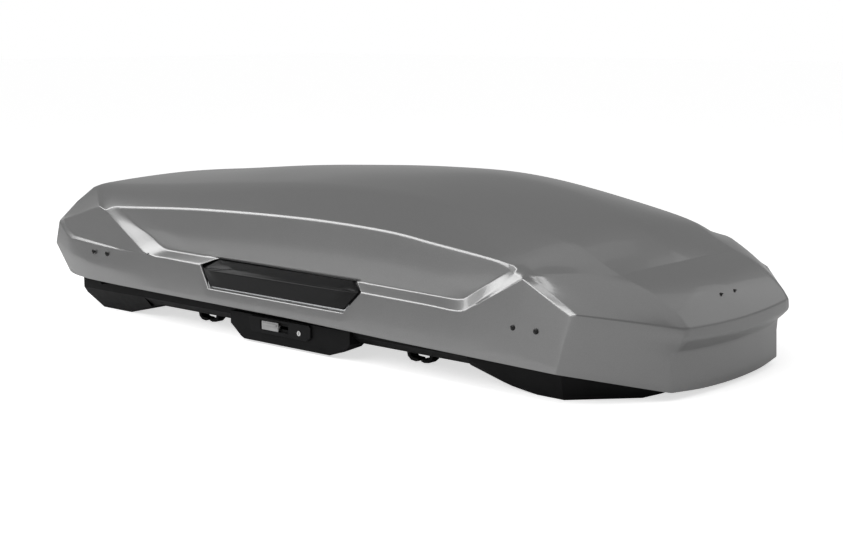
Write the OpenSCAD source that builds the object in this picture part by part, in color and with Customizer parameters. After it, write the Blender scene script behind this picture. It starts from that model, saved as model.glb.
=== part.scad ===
// Roof cargo box that opens from either side, in millimetres.
// +X points to the nose, +Z up, and the origin is under the middle of the box, on the ground.

/* [Overall] */
// Width over the lower edge of the lid
box_w = 930; // [920:2:940]
// Top of the roof at its highest station
roof_top = 458; // [450:1:462]
// Thickness of the lid and base mouldings
wall = 3; // [2.5:0.5:4]

/* [Base] */
// Height of the flat underside that lies on the crossbars
floor_z = 44; // [42:1:46]
// Top of the base's side walls
base_top = 100; // [98:1:100]
// Half width over the base's side walls
base_half_w = 428; // [424:1:428]
// Rear end of the base
base_rear = -955; // [-957:1:-950]
// Front end of the base
base_front = 1020; // [1015:1:1022]
// How far the base's walls lean in over its lowest 64 mm
base_draft = 28; // [24:1:32]

/* [Hinge and latches] */
// Distance of each hinge axis from the centre plane
hinge_y = 440; // [439:0.5:441]
// Height of the hinge axes
hinge_z = 105; // [104:0.5:106]
// Radius of the hinge pins
pin_r = 4; // [3.5:0.25:4.25]
// Travel of the lock rod
lock_travel = 18; // [16:1:20]

/* [Clamps] */
// Distance of the clamps from the centre plane
clamp_y = 330; // [325:1:335]
// Station of the rear clamps
clamp_rear_x = -445; // [-450:1:-440]
// Station of the front clamps
clamp_front_x = 357; // [352:1:362]
// Radius of the clamp knobs
knob_r = 30; // [26:1:32]

/* [Lifters] */
// Length of each lifter arm between its pins
arm_l = 200; // [198:0.5:202]
// Height of the lifter's pivot on the base
lifter_base_z = 62; // [60:1:64]
// Height of the lifter's pivot on the closed lid
lifter_lid_z = 150; // [149:1:151]

/* [Hidden] */
$fn = 48;

titan = [0.50, 0.50, 0.50];
black = [0.10, 0.10, 0.11];
steel = [0.62, 0.63, 0.65];
grey = [0.60, 0.60, 0.61];
webbing = [0.16, 0.16, 0.18];

half_w = box_w / 2;
run = 0.05;              // running clearance around a pin
latch_x = [-797, -36, 766];
key_x = 28;              // key cylinder, and the rest of the lock is placed from it
near = -1;
far = 1;
eps = 0.1;               // overlap that joins two shapes

// Lid stations, rear to front: [x, rim z, [y, z] of belt, shelf, panel top, ridge, centre z, lowest z]
LID = [
    [-1050, 168, [418, 190], [420, 215], [408, 262], [300, 285], 300],
    [-945, 98, [455, 206], [446, 240], [428, 283], [345, 365], 380],
    [-830, 98, [453, 203], [441, 240], [424, 314], [339, 371], 392],
    [-570, 97, [452, 198], [434, 219], [420, 327], [326, 388], 415],
    [-300, 94, [452, 192], [430, 214], [420, 341], [314, 408], 438],
    [0, 91, [452, 189], [430, 211], [420, 347], [294, 424], roof_top - 4],
    [300, 84, [452, 186], [430, 208], [420, 341], [281, 418], roof_top],
    [570, 79, [452, 181], [432, 204], [420, 314], [273, 380], 428],
    [740, 76, [450, 196], [440, 250], [419, 290], [270, 347], 380],
    [863, 75, [452, 192], [447, 214], [425, 240], [267, 291], 312],
    [905, 62, [415, 192], [411, 202], [388, 222], [265, 274], 281],
    [1028, 25, [283, 156], [282, 166], [279, 184], [180, 212], 222],
    [1061, 140, [249.5, 150], [249, 160], [246, 171], [130, 182], 186, 134]
];
ring_n = 13;             // points around one lid section

function half_w_at(x) = x < -1000 ? 424 : x > 870 ? half_w - 1.086 * (x - 863) : half_w;
function station_x(i, t) = LID[i][0] + (i == 0 ? t : i == len(LID) - 1 ? -t : 0);
// One side of a lid section, from below the rim up to the ridge, drawn in by t
function half_ring(s, t) = [
    [half_w_at(s[0]) - t, (len(s) > 7 ? s[7] : s[1] - 60) + t], [half_w_at(s[0]) - t, s[1] + t / 2],
    [s[2][0] - t, s[2][1]], [s[3][0] - t, s[3][1] - t], [s[4][0] - t, s[4][1] - t],
    [s[5][0] - t / 2, s[5][1] - t]];
function ring(i, t) = let (h = half_ring(LID[i], t), x = station_x(i, t)) concat(
    [for (p = h) [x, p[0], p[1]]],
    [[x, 0, LID[i][6] - t]],
    [for (k = [len(h) - 1:-1:0]) [x, -h[k][0], h[k][1]]]);
function at(i, j) = i * ring_n + j % ring_n;

// Solid body of the lid, drawn in by t on every side
module lid_body(t) {
    last = len(LID) - 1;
    crown = (ring_n - 1) / 2;    // the section's point on the centre line
    polyhedron(
        points = [for (i = [0:last]) each ring(i, t)],
        faces = concat(
            [for (j = [1:ring_n - 2]) [at(0, crown), at(0, crown + j), at(0, crown + j + 1)]],
            [for (j = [1:ring_n - 2]) [at(last, crown), at(last, crown + j + 1), at(last, crown + j)]],
            [for (i = [0:last - 1], j = [0:ring_n - 1]) each [
                [at(i, j), at(i + 1, j), at(i + 1, j + 1)],
                [at(i, j), at(i + 1, j + 1), at(i, j + 1)]]]));
}

// Lip and apron of the nose
module nose(t) {
    translate([0, 0, 133 + t]) linear_extrude(39 - 2 * t)
        polygon([[1040, -262], [1061, -250 + t], [1071 - t, -150], [1075 - t, -50],
                 [1075 - t, 50], [1071 - t, 150], [1061, 250 - t], [1040, 262]]);
    translate([0, 0, -40]) linear_extrude(180)
        polygon([[1000, -290 + t], [1033 - t, -252 + t], [1050 - t, -150], [1056 - t, -50],
                 [1056 - t, 50], [1050 - t, 150], [1033 - t, 252 - t], [1000, 290 - t]]);
}

module rear_lip(t) {
    translate([0, 0, 186 + t]) linear_extrude(76 - 2 * t)
        polygon([[-1040, -420 + t], [-1056 + t, -410 + t], [-1072 + t, -250], [-1075 + t, 0],
                 [-1072 + t, 250], [-1056 + t, 410 - t], [-1040, 420 - t]]);
}

module lid_form(t) {
    difference() {
        union() {
            lid_body(t);
            nose(t);
            rear_lip(t);
        }
        // Tail that slopes in under the rear lip
        translate([0.8 * t, 0, t]) rotate([90, 0, 0]) linear_extrude(2 * box_w, center = true)
            polygon([[-1200, 187], [-1075, 187], [-1009, 107], [-967, 96], [-967, -200], [-1200, -200]]);
    }
}

// Everything below the lid's lower edge
module below_rim() {
    rotate([90, 0, 0]) linear_extrude(2 * box_w, center = true)
        polygon([[-1200, 94], [-967, 98], [-560, 97], [0, 92], [389, 83], [863, 75], [1033, 20],
                 [1060, 10], [1100, 10], [1100, -200], [-1200, -200]]);
}

// Straight-sided cuts that give the nose its undercut and its slanted corners
module nose_cuts() {
    for (s = [near, far])
        translate([0, 0, -60]) linear_extrude(400)
            polygon([[863, s * (half_w + 0.5)], [1062, s * 249.4], [1100, s * 249.4], [1100, s * 600],
                     [863, s * 600]]);
    rotate([90, 0, 0]) linear_extrude(2 * box_w, center = true)
        polygon([[1120, 132], [1074, 132], [1057, 106], [1057.5, 0], [1120, 0]]);
}

/* ---- Lid ---- */
module lid_shell() {
    color(titan) difference() {
        lid_form(0);
        lid_form(wall);
        below_rim();
        nose_cuts();
        for (s = [near, far], x = rivet_x)
            translate([x, s * half_w, rivet_z(x)]) rotate([90, 0, 0]) cylinder(h = 80, r = 3.2, center = true);
        for (y = nose_rivet_y)
            translate([nose_rivet_x, y, 215]) cylinder(h = 80, r = 3.2, center = true);
    }
}

rivet_x = [-828, -765, 734, 799];
nose_rivet_y = [-32, 32];
nose_rivet_x = 1028;
function rivet_z(x) = x < 0 ? 183 : 163;

module lid_inlay(s) {
    color(black) difference() {
        intersection() {
            rotate([90, 0, 0]) linear_extrude(2 * box_w, center = true)
                polygon([[-353, 197], [-276, 223], [222, 218], [254, 188], [191, 130], [-324, 135]]);
            rotate([90, 0, 90]) linear_extrude(1000, center = true)
                polygon([[s * 425, 230], [s * 436, 230], [s * 462, 196], [s * 465, 192], [s * 465, 128],
                         [s * 425, 128]]);
        }
        lid_body(0);
    }
}

// Angle profile that stiffens the lower inside edge of the lid
module lid_rail(s) {
    color(steel) rotate([90, 0, 90]) translate([0, 0, -700]) linear_extrude(1400)
        polygon([[s * 446.5, 120], [s * 456, 120], [s * 456, 122], [s * 448.5, 122], [s * 448.5, 150],
                 [s * 446.5, 150]]);
}

// Stamped bracket: a plate on the lid's side and a cheek with an eye for the hinge pin
module latch_bracket(s, x) {
    plate_top = x == latch_x[1] ? 180 : 194;
    difference() {
        union() {
            translate([x - 44, s * 444.5 - 2, 116]) cube([88, 4, plate_top - 116]);
            translate([x - 2, s * 444.5 - 2, 97]) cube([4, 4, 60]);
            translate([x - 2, 0, 0]) rotate([90, 0, 90]) linear_extrude(4)
                polygon([[s * 446.5, 97], [s * 434, 97], [s * 431, 102], [s * 431, 112], [s * 442, 150],
                         [s * 446.5, 150]]);
        }
        translate([x, s * hinge_y, hinge_z]) rotate([0, 90, 0]) cylinder(h = 20, r = pin_r + run, center = true);
        if (x != latch_x[1])
            for (rx = rivet_x) if (abs(rx - x) < 50)
                translate([rx, s * 440, rivet_z(rx)]) rotate([90, 0, 0]) cylinder(h = 40, r = 3.2, center = true);
    }
}
module latch_brackets(s) {
    color(steel) for (x = latch_x) latch_bracket(s, x);
}

// Shouldered pin: its collars hold it in the cheek, and its long free end points aft
module hinge_pins(s) {
    color(steel) for (x = latch_x)
        translate([x, s * hinge_y, hinge_z]) rotate([0, -90, 0]) {
            translate([0, 0, -12]) cylinder(h = 54, r = pin_r);
            translate([0, 0, -7.4]) cylinder(h = 5, r = 6.5);
            translate([0, 0, 2.4]) cylinder(h = 3, r = 6.5);
        }
}

module lid_rivets(s) {
    color(black) for (x = rivet_x)
        translate([x, s * 455.2, rivet_z(x)]) rotate([s * -90, 0, 0]) {
            intersection() {
                translate([0, 0, -8]) sphere(r = 10.5);
                cylinder(h = 4, r = 7);
            }
            translate([0, 0, -15.5]) cylinder(h = 16, r = 3);
            translate([0, 0, -18]) cylinder(h = 4.8, r = 5.5);
        }
}

module lid_rivets_nose() {
    color(black) for (y = nose_rivet_y)
        translate([nose_rivet_x, y, 0]) {
            translate([0, 0, 201]) cylinder(h = 20, r = 3);
            translate([0, 0, 201]) cylinder(h = 4, r = 5.5);
            translate([0, 0, 219]) intersection() {
                translate([0, 0, -8]) sphere(r = 10.5);
                cylinder(h = 3, r = 7);
            }
        }
}

/* ---- Base ---- */
// Outline of the base in plan, drawn in by t
function base_plan(t) = [
    [base_rear + t, -385 + t], [base_rear + 40 + t, -base_half_w + t], [852 - t / 2, -base_half_w + t],
    [base_front - t, -246 + t / 2], [base_front + 12 - t, -120], [base_front + 12 - t, 120],
    [base_front - t, 246 - t / 2], [852 - t / 2, base_half_w - t], [base_rear + 40 + t, base_half_w - t],
    [base_rear + t, 385 - t]];
// Side view of the base: tail bulge, flat middle, nose bulge
function base_side(t, top) = [
    [base_rear - 40, top], [base_rear - 40, 96], [base_rear + t, 96], [-880 + t, t], [-748 - t / 2, t],
    [-593 - t / 2, floor_z + t], [575 + t / 2, floor_z + t], [697 + t / 2, 11 + t], [765, t],
    [965 - t / 2, t], [1003 - t, 12 + t], [base_front + 60, 26 + t], [base_front + 60, top]];
// End view of the base where it is shallow, in the nose and in the tail
function end_view(points) = concat(points, [for (i = [len(points) - 1:-1:0]) [-points[i][0], points[i][1]]]);
function middle_end(t, top) = end_view([[372, -1], [398 - t, 42], [base_half_w - t, 66], [base_half_w - t, top + 1]]);
function nose_end(t, top) = end_view([[398 - t, -1], [411 - t, 15], [base_half_w - t, 64], [base_half_w - t, top + 1]]);
function tail_end(t, top) = end_view([[382 - t, -1], [base_half_w - t, 64], [base_half_w - t, top + 1]]);

module slab(x, length, points) {
    translate([x, 0, 0]) rotate([90, 0, 90]) linear_extrude(length) polygon(points);
}

module base_body(t, top) {
    intersection() {
        union() {
            translate([0, 0, 64]) linear_extrude(122) polygon(base_plan(t));
            hull() {
                translate([0, 0, 64]) linear_extrude(eps) polygon(base_plan(t));
                translate([0, 0, -1]) linear_extrude(eps) offset(delta = -base_draft) polygon(base_plan(t));
            }
        }
        rotate([90, 0, 0]) linear_extrude(box_w, center = true) polygon(base_side(t, top));
        union() {
            slab(-630, 1205, middle_end(t, top));
            hull() {
                slab(575 - eps, eps, middle_end(t, top));
                slab(700, eps, nose_end(t, top));
            }
            slab(700, 400, nose_end(t, top));
            hull() {
                slab(-630, eps, middle_end(t, top));
                slab(-740, eps, tail_end(t, top));
            }
            slab(-1100, 360 + eps, tail_end(t, top));
        }
    }
}

// Bulge in the side wall that holds the lock
module lock_bulge(s, t) {
    intersection() {
        rotate([90, 0, 0]) linear_extrude(box_w, center = true)
            polygon([[-243 + t, floor_z + t], [-193 + t, 6 + t], [130 - t, 6 + t], [190 - t, 30 + t],
                     [205 - t, floor_z + t], [205 - t, 78 - t], [-243 + t, 78 - t]]);
        rotate([90, 0, 90]) linear_extrude(600, center = true)
            polygon([[s * (380 + t), 5], [s * (436 - t), 5], [s * (440 - t), 12], [s * (440 - t), 79],
                     [s * (380 + t), 79]]);
    }
}

module base_tray() {
    color(black) difference() {
        union() {
            base_body(0, base_top);
            for (s = [near, far]) lock_bulge(s, 0);
        }
        base_body(wall, base_top + 10);
        for (s = [near, far]) {
            lock_bulge(s, wall);
            translate([key_x - 146, s * 440 - 30, 52]) cube([106, 60, 9]);
            translate([key_x, s * 437, 51]) rotate([90, 0, 0]) cylinder(h = 30, r = 7, center = true);
            for (cx = [clamp_rear_x, clamp_front_x], d = [-1, 1])
                translate([cx + d * 45 - 17, s * clamp_y - 17, floor_z - 5]) cube([34, 34, 20]);
        }
    }
}

// Steel channel that the clamps are fixed in
module clamp_track(s) {
    color(steel) difference() {
        translate([-560, s * clamp_y - 26, floor_z + wall]) cube([1100, 52, 8]);
        translate([-561, s * clamp_y - 24, floor_z + wall + 2]) cube([1102, 48, 10]);
        for (cx = [clamp_rear_x, clamp_front_x], d = [-1, 1])
            translate([cx + d * 45 - 17, s * clamp_y - 17, floor_z]) cube([34, 34, 10]);
    }
}

// Long plate inside the side wall, with guides for the lock rod
module side_rail(s) {
    color(steel) difference() {
        union() {
            translate([-840, s * 422 - 1.5, 68]) cube([1660, 3, 20]);
            translate([-840, s * 415.5 - 5.5, 68]) cube([1660, 11, 2]);
            for (x = [-700, -420, -160, 150, 420, 690])
                translate([x, s * 409 - 12, 68]) cube([12, 24, 20]);
        }
        translate([-900, s * 404, 80]) rotate([0, 90, 0]) cylinder(h = 1800, r = 4.4);
        translate([key_x - 148, s * 415 - 12, 60]) cube([110, 24, 22]);
    }
}

// Three saddles on the side wall that the hinge pins drop into
module latch_seats(s) {
    color(black) for (x = latch_x) difference() {
        translate([x - 19, s * 438 - 10, 86]) cube([12, 20, 15]);
        translate([x, s * hinge_y, hinge_z]) rotate([0, -90, 0]) cylinder(h = 30, r = pin_r + 0.4);
    }
}

module lock_housing(s) {
    color(black) difference() {
        translate([key_x, s * 443, 0]) rotate([90, 0, 0]) translate([0, 0, -3]) linear_extrude(6)
            polygon([[-192, 74], [-185, 40], [-173, 34], [27, 34], [42, 44], [42, 70], [35, 76], [-183, 76]]);
        translate([key_x - 146, s * 443 - 10, 44]) cube([106, 20, 25]);
        translate([key_x, s * 443, 51]) rotate([90, 0, 0]) cylinder(h = 30, r = 7, center = true);
    }
}

module lock_slider(s) {
    color(grey) {
        translate([key_x - 138, s * 447 - 1.7, 45]) cube([62, 3.4, 23]);
        translate([key_x - 133, s * 450 - 1.5, 58]) cube([52, 3, 6]);
        translate([key_x - 138, s * 443 - 2.4, 53]) cube([62, 4.8, 7]);
    }
}

module lock_rod(s) {
    color(steel) {
        translate([-862, s * 404, 80]) rotate([0, 90, 0]) cylinder(h = 1600, r = 4);
        for (x = latch_x) lock_hook(s, x);
        lock_link(s);
    }
}
// Arm and sleeve that slide over the free end of a hinge pin when the rod has made its travel
module lock_hook(s, x) {
    translate([x - 44 - lock_travel, 0, 0]) difference() {
        union() {
            translate([0, s * hinge_y, hinge_z]) rotate([0, 90, 0]) cylinder(h = 16, r = 7);
            translate([0, s * 420 - 18, hinge_z - 4]) cube([16, 36, 8]);
            translate([0, s * 404 - 4, 80]) cube([16, 8, 21.5]);
        }
        translate([-1, s * hinge_y, hinge_z]) rotate([0, 90, 0]) cylinder(h = 30, r = pin_r + 0.5);
    }
}
// Plate from the rod out through the side wall to the slider
module lock_link(s) {
    translate([key_x - 123, s * 404 - 3, 53]) cube([32, 6, 27]);
    translate([key_x - 123, s * 422.5 - 18, 53]) cube([32, 36, 7]);
}

module key_cylinder(s) {
    color(grey) translate([key_x, s * 437, 51]) rotate([90, 0, 0]) difference() {
        union() {
            translate([0, 0, -10]) cylinder(h = 20, r = 6.9);
            translate([-4, -4, s > 0 ? 10 : -16]) cube([24, 8, 6]);
        }
        translate([-0.9, -4, s > 0 ? -11 : 7]) cube([1.8, 8, 4]);
    }
}

/* ---- Lid lifters: two-link arms in planes across the box ---- */
lifter_front_x = 975;
lifter_rear_x = -895;
washer_r = 15;           // spreads the arms' load
half_rise = (lifter_lid_z - lifter_base_z) / 2;
elbow_y = sqrt(arm_l * arm_l - half_rise * half_rise);
elbow_z = lifter_base_z + half_rise;
arm_angle = atan2(half_rise, elbow_y);

// Flat arm from the origin along +Y, with a bore at each place in bores
module arm_plate(bores) {
    difference() {
        union() {
            translate([0, 0, -10]) cube([4, arm_l, 20]);
            for (v = [0, arm_l]) translate([0, v, 0]) rotate([0, 90, 0]) cylinder(h = 4, r = 12);
        }
        for (v = bores) translate([-1, v, 0]) rotate([0, 90, 0]) cylinder(h = 6, r = 5 + run);
        translate([-1, 40, -3]) cube([6, arm_l - 80, 6]);
    }
}
// Ear for the pivot pin on a moulded block that fits the base's floor
module lifter_foot(x, block_top) {
    color(steel) difference() {
        union() {
            intersection() {
                translate([x - 20, -30, 0]) cube([44, 60, block_top]);
                base_body(wall + 0.3, base_top + 10);
            }
            translate([x - 8, -16, block_top - eps]) cube([4, 32, lifter_base_z - block_top]);
            translate([x - 8, 0, lifter_base_z]) rotate([0, 90, 0]) cylinder(h = 4, r = 16);
        }
        translate([x - 9, 0, lifter_base_z]) rotate([0, 90, 0]) cylinder(h = 6, r = 5 + run);
        translate([x - 3.9, -20, lifter_base_z - 18]) cube([30, 40, 40]);
        translate([x - 30, -20, lifter_base_z - 18]) cube([21.9, 40, 40]);
    }
}
// Shouldered pin with wide washers, through two plates that lie at x - 4 and x
module lifter_pin(x, y, z, back) {
    color(steel) translate([x, y, z]) rotate([0, 90, 0]) {
        translate([0, 0, -back - 2]) cylinder(h = back + 8, r = 5);
        translate([0, 0, -back - 4]) cylinder(h = 3.6, r = washer_r);
        translate([0, 0, 4.4]) cylinder(h = 3.6, r = washer_r);
    }
}
module lifter_lower_arm(x) {
    color(black) translate([x, 0, lifter_base_z]) rotate([arm_angle, 0, 0]) arm_plate([0, arm_l]);
}
module lifter_upper_arm(x) {
    color(black) {
        translate([x - 5, 0, lifter_lid_z]) rotate([-arm_angle, 0, 0]) arm_plate([arm_l]);
        translate([x - 5, 0, lifter_lid_z]) rotate([0, 90, 0]) cylinder(h = 19, r = 5);
    }
}
// Plate hanging from the lid, with a long slot that leaves the arm's end free
module lifter_slot_bracket(x, reach, rivets) {
    flange_top = 208;
    slot_w = 34;
    color(steel) difference() {
        union() {
            translate([x + 3, -44, lifter_lid_z - 24]) cube([3, 88, flange_top - lifter_lid_z + 24]);
            translate([min(x + 3, x + reach), -44, flange_top - 3]) cube([abs(reach) + (reach < 0 ? 3 : -3), 88, 3]);
        }
        translate([x, -slot_w / 2, lifter_lid_z - 12]) cube([10, slot_w, flange_top - lifter_lid_z]);
        for (y = rivets) translate([nose_rivet_x, y, flange_top - 10]) cylinder(h = 20, r = 3.2);
    }
}

/* ---- Crossbar clamps ---- */
claw_pivot_dx = 42;
claw_pivot_z = 68;

module clamp_housing(cx, s) {
    color(black) translate([cx, s * clamp_y, 0]) difference() {
        union() {
            translate([-68, -23, 49.1]) cube([136, 46, 31]);
            translate([0, 0, 70]) cylinder(h = 16, r = 20);
        }
        translate([-64, -19, 48]) cube([128, 38, 29]);
        translate([0, 0, 40]) cylinder(h = 60, r = 8.05);
        for (d = [-1, 1]) translate([d * claw_pivot_dx, 0, claw_pivot_z]) rotate([90, 0, 0])
            cylinder(h = 60, r = 3, center = true);
    }
}
module clamp_knob(cx, s) {
    color(grey) translate([cx, s * clamp_y, 0]) {
        translate([0, 0, 58]) cylinder(h = 32, r = 8);
        translate([0, 0, 86.4]) difference() {
            union() {
                cylinder(h = 8, r = knob_r);
                translate([-knob_r + 3, -6, 8]) cube([2 * knob_r - 6, 12, 12]);
            }
            for (a = [0:30:359]) rotate([0, 0, a + 15]) translate([knob_r + 2, 0, -1]) cylinder(h = 10, r = 4);
        }
    }
}
// Claw seen from the side: eye at the pivot, shank through the floor, toe under the bar
module claw(cx, s, d) {
    color(black) translate([cx, s * clamp_y, 0]) mirror([d < 0 ? 1 : 0, 0, 0]) difference() {
        rotate([90, 0, 0]) linear_extrude(28, center = true) union() {
            polygon([[34, 68], [34, 42], [31, 21], [24, 16], [5, 15], [3, 9], [14, 6], [30, 8],
                     [41, 17], [47, 42], [50, 68]]);
            translate([claw_pivot_dx, claw_pivot_z]) circle(r = 8);
        }
        translate([claw_pivot_dx, 0, claw_pivot_z]) rotate([90, 0, 0])
            cylinder(h = 60, r = 3 + run, center = true);
    }
}
module clamp_axles() {
    color(steel) for (cx = [clamp_rear_x, clamp_front_x], s = [near, far], d = [-1, 1])
        translate([cx + d * claw_pivot_dx, s * clamp_y, claw_pivot_z]) rotate([90, 0, 0])
            cylinder(h = 46, r = 3, center = true);
}

/* ---- Load straps ---- */
strap_x = [-215, 130];
module load_straps() {
    color(webbing) for (x = strap_x) translate([x - 12, -300, floor_z + wall]) cube([24, 600, 1.8]);
}
module strap_buckles() {
    color(black) for (x = strap_x) translate([x, -60, floor_z + wall + 1.8]) difference() {
        translate([-17, -27, 0]) cube([34, 54, 9]);
        translate([-10, 12, -1]) cube([20, 5, 12]);
        translate([-10, -17, 4]) cube([20, 20, 8]);
    }
}

base_tray();
clamp_track(near);  // clamp_track_near
clamp_track(far);  // clamp_track_far
side_rail(near);  // side_rail_near
side_rail(far);  // side_rail_far
latch_seats(near);  // latch_seats_near
latch_seats(far);  // latch_seats_far
lock_housing(near);  // lock_housing_near
lock_housing(far);  // lock_housing_far
lock_slider(near);  // lock_slider_near
lock_slider(far);  // lock_slider_far
lock_rod(near);  // lock_rod_near
lock_rod(far);  // lock_rod_far
key_cylinder(near);  // key_cylinder_near
key_cylinder(far);  // key_cylinder_far
lid_shell();
lid_inlay(near);  // lid_inlay_near
lid_inlay(far);  // lid_inlay_far
lid_rail(near);  // lid_rail_near
lid_rail(far);  // lid_rail_far
latch_brackets(near);  // latch_brackets_near
latch_brackets(far);  // latch_brackets_far
hinge_pins(near);  // hinge_pins_near
hinge_pins(far);  // hinge_pins_far
lid_rivets(near);  // lid_rivets_near
lid_rivets(far);  // lid_rivets_far
lid_rivets_nose();
lifter_foot(lifter_front_x, 26);  // lifter_foot_front
lifter_pin(lifter_front_x, 0, lifter_base_z, 8);  // lifter_pivot_front
lifter_lower_arm(lifter_front_x);  // lifter_lower_arm_front
lifter_pin(lifter_front_x, elbow_y, elbow_z, 5);  // lifter_elbow_front
lifter_upper_arm(lifter_front_x);  // lifter_upper_arm_front
lifter_slot_bracket(lifter_front_x, 60, nose_rivet_y);  // lifter_slot_bracket_front
lifter_foot(lifter_rear_x, 56);  // lifter_foot_rear
lifter_pin(lifter_rear_x, 0, lifter_base_z, 8);  // lifter_pivot_rear
lifter_lower_arm(lifter_rear_x);  // lifter_lower_arm_rear
lifter_pin(lifter_rear_x, elbow_y, elbow_z, 5);  // lifter_elbow_rear
lifter_upper_arm(lifter_rear_x);  // lifter_upper_arm_rear
lifter_slot_bracket(lifter_rear_x, -174, []);  // lifter_slot_bracket_rear
clamp_axles();
load_straps();
strap_buckles();
clamp_housing(clamp_rear_x, near);  // clamp_housing_rear_near
clamp_knob(clamp_rear_x, near);  // clamp_knob_rear_near
claw(clamp_rear_x, near, -1);  // claw_aft_rear_near
claw(clamp_rear_x, near, 1);  // claw_fore_rear_near
clamp_housing(clamp_rear_x, far);  // clamp_housing_rear_far
clamp_knob(clamp_rear_x, far);  // clamp_knob_rear_far
claw(clamp_rear_x, far, -1);  // claw_aft_rear_far
claw(clamp_rear_x, far, 1);  // claw_fore_rear_far
clamp_housing(clamp_front_x, near);  // clamp_housing_front_near
clamp_knob(clamp_front_x, near);  // clamp_knob_front_near
claw(clamp_front_x, near, -1);  // claw_aft_front_near
claw(clamp_front_x, near, 1);  // claw_fore_front_near
clamp_housing(clamp_front_x, far);  // clamp_housing_front_far
clamp_knob(clamp_front_x, far);  // clamp_knob_front_far
claw(clamp_front_x, far, -1);  // claw_aft_front_far
claw(clamp_front_x, far, 1);  // claw_fore_front_far
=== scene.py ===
"""Looks of the roof cargo box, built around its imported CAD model.

Shapes are written in millimetres as (x, w, z): x towards the nose, w outwards from the centre plane, z up.
A mesh is made in metres, and each shape is built once for the near side (y = -w) and once for the far side.
"""

import math

import bmesh
import bpy
import numpy as np
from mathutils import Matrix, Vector
from mathutils.kdtree import KDTree

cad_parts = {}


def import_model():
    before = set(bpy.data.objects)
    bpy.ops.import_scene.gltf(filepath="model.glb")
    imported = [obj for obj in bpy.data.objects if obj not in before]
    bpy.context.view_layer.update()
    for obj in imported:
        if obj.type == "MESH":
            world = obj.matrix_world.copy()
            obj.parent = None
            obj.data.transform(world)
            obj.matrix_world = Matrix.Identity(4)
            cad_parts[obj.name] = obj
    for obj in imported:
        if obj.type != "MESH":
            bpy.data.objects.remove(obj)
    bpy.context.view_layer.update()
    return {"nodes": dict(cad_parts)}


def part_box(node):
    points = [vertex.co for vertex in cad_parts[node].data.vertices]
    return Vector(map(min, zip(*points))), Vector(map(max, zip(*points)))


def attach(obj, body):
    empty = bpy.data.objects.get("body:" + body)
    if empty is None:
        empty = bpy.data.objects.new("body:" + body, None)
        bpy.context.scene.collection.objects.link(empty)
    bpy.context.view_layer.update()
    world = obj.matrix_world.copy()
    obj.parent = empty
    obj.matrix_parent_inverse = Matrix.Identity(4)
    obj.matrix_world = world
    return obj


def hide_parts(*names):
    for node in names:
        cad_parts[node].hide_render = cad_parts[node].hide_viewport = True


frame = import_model()
nodes = frame["nodes"]
MM = 0.001
SIDES = {"near": -1, "far": 1}


# ---- Curves and patches ----
def curve(points, count):
    """count + 1 points, evenly spaced along a smooth curve through the given ones."""
    p = np.array(points, float)
    if len(p) > 2:
        ends = [2 * p[0] - p[1], *p, 2 * p[-1] - p[-2]]
        t = np.linspace(0, 1, 24, endpoint=False)[:, None]
        spans = [
            b + t * ((c - a) / 2 + t * ((2 * a - 5 * b + 4 * c - d) / 2 + t * (3 * b - a - 3 * c + d) / 2))
            for a, b, c, d in zip(ends, ends[1:], ends[2:], ends[3:])
        ]
        p = np.vstack([*spans, p[-1:]])
    along = np.r_[0, np.cumsum(np.linalg.norm(np.diff(p, axis=0), axis=1))]
    at = np.linspace(0, along[-1], count + 1)
    return np.stack([np.interp(at, along, p[:, k]) for k in range(3)], 1)


def chain(*curves):
    """Curves joined end to end."""
    return np.vstack([curves[0], *[c[1:] for c in curves[1:]]])


def corner(point, count):
    """A side of a patch that is a single point."""
    return np.repeat(np.array([point], float), count + 1, axis=0)


def coons(low, high, left, right, crown=0.0):
    """Grid between four curves. low and high run left to right, and left and right run from low to high.
    crown pushes the middle outwards by that much."""
    u = np.linspace(0, 1, len(low))[:, None, None]
    v = np.linspace(0, 1, len(left))[None, :, None]
    grid = (1 - v) * low[:, None] + v * high[:, None] + (1 - u) * left[None] + u * right[None]
    grid = grid - (1 - u) * ((1 - v) * low[0] + v * high[0]) - u * ((1 - v) * low[-1] + v * high[-1])
    grid[..., 1] += crown * (4 * v * (1 - v) * np.minimum(1, 12 * u * (1 - u)))[..., 0]
    return grid


ROOM_BESIDE_ROUNDING = 0.42  # shares of the space beside an edge that its rounding may take
ROOM_BESIDE_FLAT = 0.85


def room(edge, shared):
    """How wide, in millimetres, an edge's rounding may be before it runs into something beside it."""
    start, end = edge.verts
    along = (end.co - start.co).normalized()
    space = []
    for face in edge.link_faces:
        for v in face.verts:
            if v not in edge.verts:
                across = v.co - start.co
                share = ROOM_BESIDE_ROUNDING if v in shared else ROOM_BESIDE_FLAT
                space.append((across - along * across.dot(along)).length / MM * share)
    return min(space)


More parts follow.
